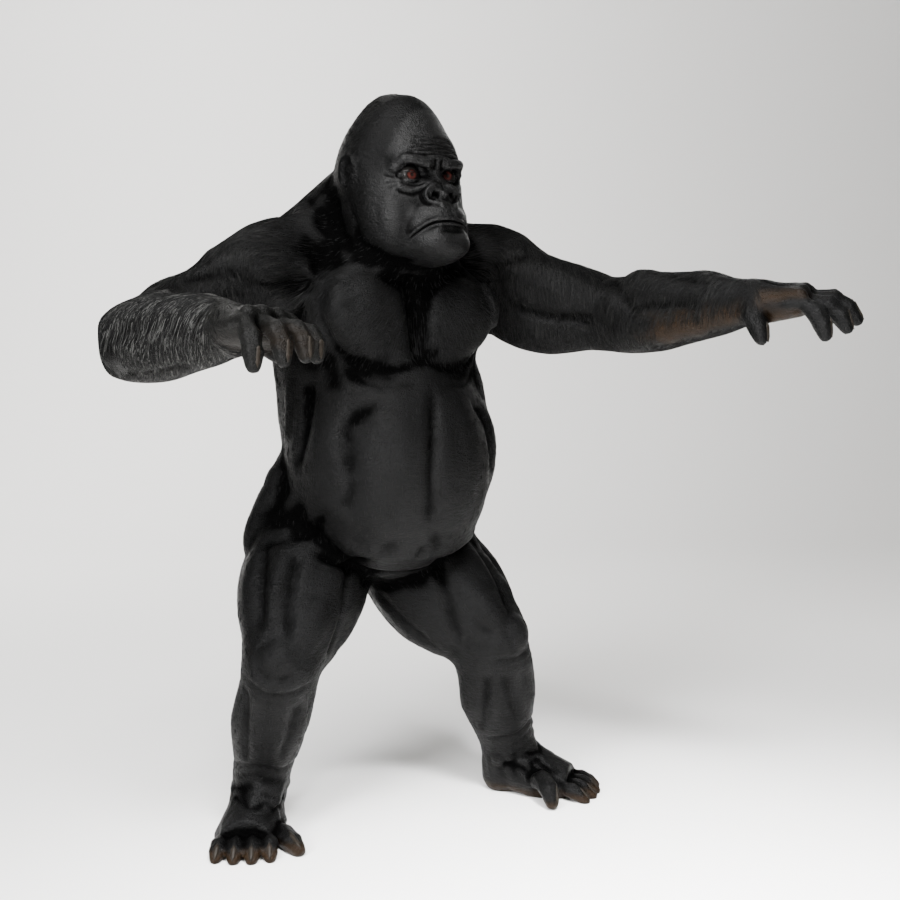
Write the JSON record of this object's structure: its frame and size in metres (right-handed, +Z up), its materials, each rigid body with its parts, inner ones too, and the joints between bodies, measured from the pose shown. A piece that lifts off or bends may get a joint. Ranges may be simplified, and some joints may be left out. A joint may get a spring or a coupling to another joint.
{
  "type": "gorilla",
  "caption": "Adult male gorilla, life size, standing on slightly bent legs with both arms held out in front of the chest.",
  "frame": {"origin": "on the floor, under the middle of the bounding box", "axes": "+Z up; the animal faces -Y and its left side is towards +X"},
  "size_m": [1.3454, 1.0368, 1.6002],
  "materials": {
    "haired_skin": "satin black hide under very short flat hair",
    "face_skin": "satin black bare skin",
    "bare_skin": "satin black-brown bare skin",
    "eyes": "wet gloss",
    "nails": "satin horn"
  },
  "bodies": {
    "root": {"chest": "haired_skin", "belly": "haired_skin", "neck": "haired_skin", "eye_left": "eyes", "ear_left": "face_skin", "eye_right": "eyes", "ear_right": "face_skin", "head": "face_skin", "upper_arm_left": "haired_skin", "forearm_left": "haired_skin", "index_finger_left": "bare_skin", "index_finger_nail_left": "nails", "middle_finger_left": "bare_skin", "middle_finger_nail_left": "nails", "ring_finger_left": "bare_skin", "ring_finger_nail_left": "nails", "little_finger_left": "bare_skin", "little_finger_nail_left": "nails", "thumb_left": "bare_skin", "thumb_nail_left": "nails", "hand_left": "bare_skin", "thigh_left": "haired_skin", "shin_left": "haired_skin", "second_toe_left": "bare_skin", "second_toe_nail_left": "nails", "third_toe_left": "bare_skin", "third_toe_nail_left": "nails", "fourth_toe_left": "bare_skin", "fourth_toe_nail_left": "nails", "fifth_toe_left": "bare_skin", "fifth_toe_nail_left": "nails", "big_toe_left": "bare_skin", "big_toe_nail_left": "nails", "foot_left": "bare_skin", "upper_arm_right": "haired_skin", "forearm_right": "haired_skin", "index_finger_right": "bare_skin", "index_finger_nail_right": "nails", "middle_finger_right": "bare_skin", "middle_finger_nail_right": "nails", "ring_finger_right": "bare_skin", "ring_finger_nail_right": "nails", "little_finger_right": "bare_skin", "little_finger_nail_right": "nails", "thumb_right": "bare_skin", "thumb_nail_right": "nails", "hand_right": "bare_skin", "thigh_right": "haired_skin", "shin_right": "haired_skin", "second_toe_right": "bare_skin", "second_toe_nail_right": "nails", "third_toe_right": "bare_skin", "third_toe_nail_right": "nails", "fourth_toe_right": "bare_skin", "fourth_toe_nail_right": "nails", "fifth_toe_right": "bare_skin", "fifth_toe_nail_right": "nails", "big_toe_right": "bare_skin", "big_toe_nail_right": "nails", "foot_right": "bare_skin"}
  },
  "joints": []
}
